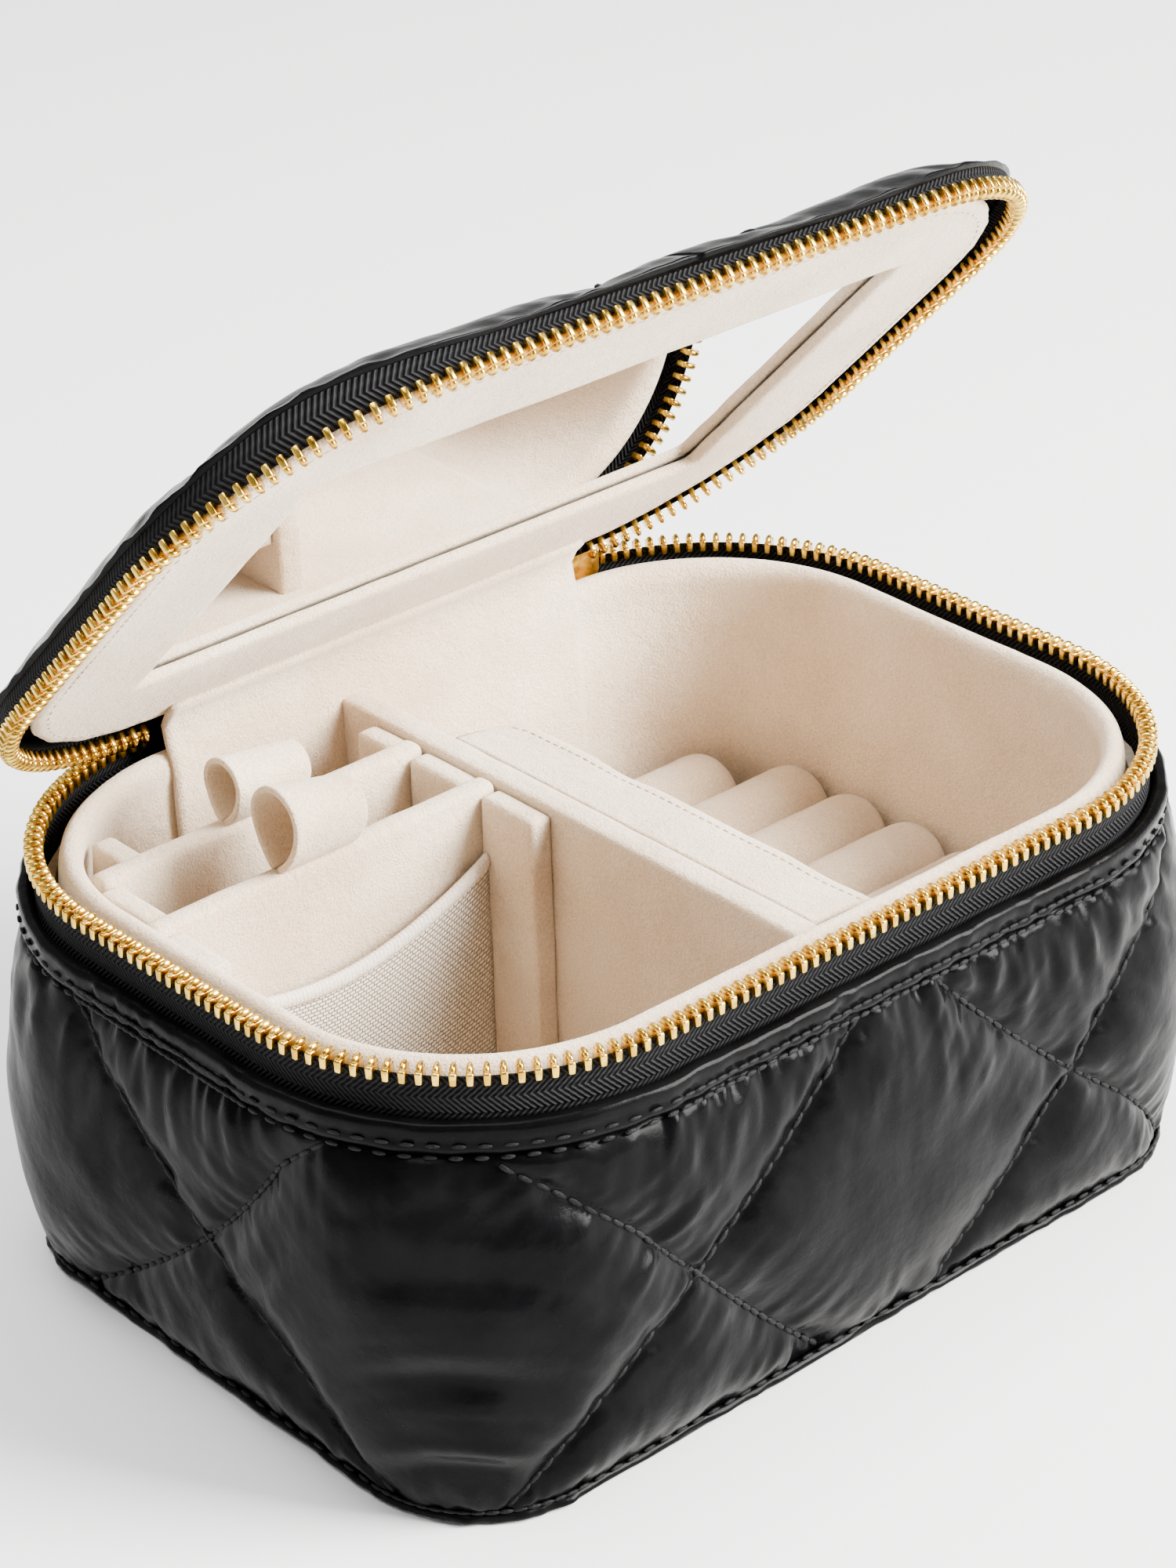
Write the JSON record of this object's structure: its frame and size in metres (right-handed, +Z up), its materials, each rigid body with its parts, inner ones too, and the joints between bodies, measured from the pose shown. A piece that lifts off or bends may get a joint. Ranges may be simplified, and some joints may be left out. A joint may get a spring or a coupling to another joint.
{
  "type": "travel jewellery case",
  "caption": "Quilted zip-round travel jewellery case with a hinged mirror lid, padded lining, lift-out dividers, an elastic pocket and foam ring rolls.",
  "frame": {"origin": "centre of the underside of the base", "axes": "+Z up; +X along the long side, to the right seen from the front; +Y from the front to the hinge side"},
  "size_m": [0.1554, 0.1208, 0.1533],
  "materials": {
    "quilted_nylon": "glossy black puffer nylon, diamond quilted",
    "zip_tape": "matt black herringbone tape",
    "zip_brass": "polished light gold",
    "microsuede": "brushed cream microsuede",
    "board": "plain stiffener board, hidden",
    "mirror_glass": "polished mirror",
    "ribbed_elastic": "cream ribbed elastic"
  },
  "bodies": {
    "case_body": {"quilted_wall_cover": "quilted_nylon", "rim_band": "quilted_nylon", "bottom_piping": "quilted_nylon", "bottom_cover": "quilted_nylon", "lower_zip_tape": "zip_tape", "hinge_strip_lower": "zip_tape", "lower_zip_chain": "zip_brass", "floor_lining": "microsuede", "wall_lining": "microsuede", "lining_rim_roll": "microsuede", "main_divider": "microsuede", "ring_roll_base": "microsuede", "hinge_lining": "microsuede", "ring_roll_1": "microsuede", "ring_roll_2": "microsuede", "ring_roll_3": "microsuede", "ring_roll_4": "microsuede", "ring_roll_5": "microsuede", "ring_roll_6": "microsuede", "ring_roll_7": "microsuede", "divider_guide_front": "microsuede", "divider_guide_middle": "microsuede", "divider_guide_rear": "microsuede", "wall_guide_front": "microsuede", "wall_guide_middle": "microsuede", "wall_guide_rear": "microsuede", "bottom_board": "board", "wall_board": "board"},
    "front_divider": {"front_cross_divider": "microsuede", "front_finger_loop": "microsuede", "elastic_pocket": "ribbed_elastic"},
    "rear_divider": {"rear_cross_divider": "microsuede", "rear_finger_loop": "microsuede"},
    "flap": {"divider_flap": "microsuede"},
    "zip_slider": {"zip_slider_body": "zip_brass", "zip_slider_bail": "zip_brass"},
    "zip_pull": {"zip_pull_tab": "zip_brass"},
    "lid": {"hinge_strip_upper": "zip_tape", "upper_zip_tape": "zip_tape", "upper_zip_chain": "zip_brass", "mirror_frame_panel": "microsuede", "mirror": "mirror_glass", "mirror_surround_board": "board", "lid_board": "board", "quilted_lid_cover": "quilted_nylon"}
  },
  "joints": [
    {"name": "lid_hinge", "type": "hinge", "parent": "case_body", "child": "lid", "pos_m": [0, 0.0542, 0.0716], "axis": [-1, 0, 0], "range_deg": [-45.6, 34], "deforming": ["front_finger_loop", "rear_finger_loop"]},
    {"name": "front_divider_lift", "type": "slide", "parent": "case_body", "child": "front_divider", "axis": [0, 0, 1], "range_m": [0, 0.025]},
    {"name": "rear_divider_lift", "type": "slide", "parent": "case_body", "child": "rear_divider", "axis": [0, 0, 1], "range_m": [0, 0.012]},
    {"name": "divider_flap_fold", "type": "hinge", "parent": "case_body", "child": "flap", "pos_m": [-0.0037, 0, 0.0647], "axis": [0, -1, 0], "range_deg": [0, 90]},
    {"name": "zip_slider_travel", "type": "slide", "parent": "case_body", "child": "zip_slider", "axis": [1, 0, 0], "range_m": [0, 0.003]},
    {"name": "zip_pull_swing", "type": "hinge", "parent": "zip_slider", "child": "zip_pull", "pos_m": [0.0421, 0.05965, 0.0673], "axis": [1, 0, 0], "range_deg": [-4, 84]}
  ]
}
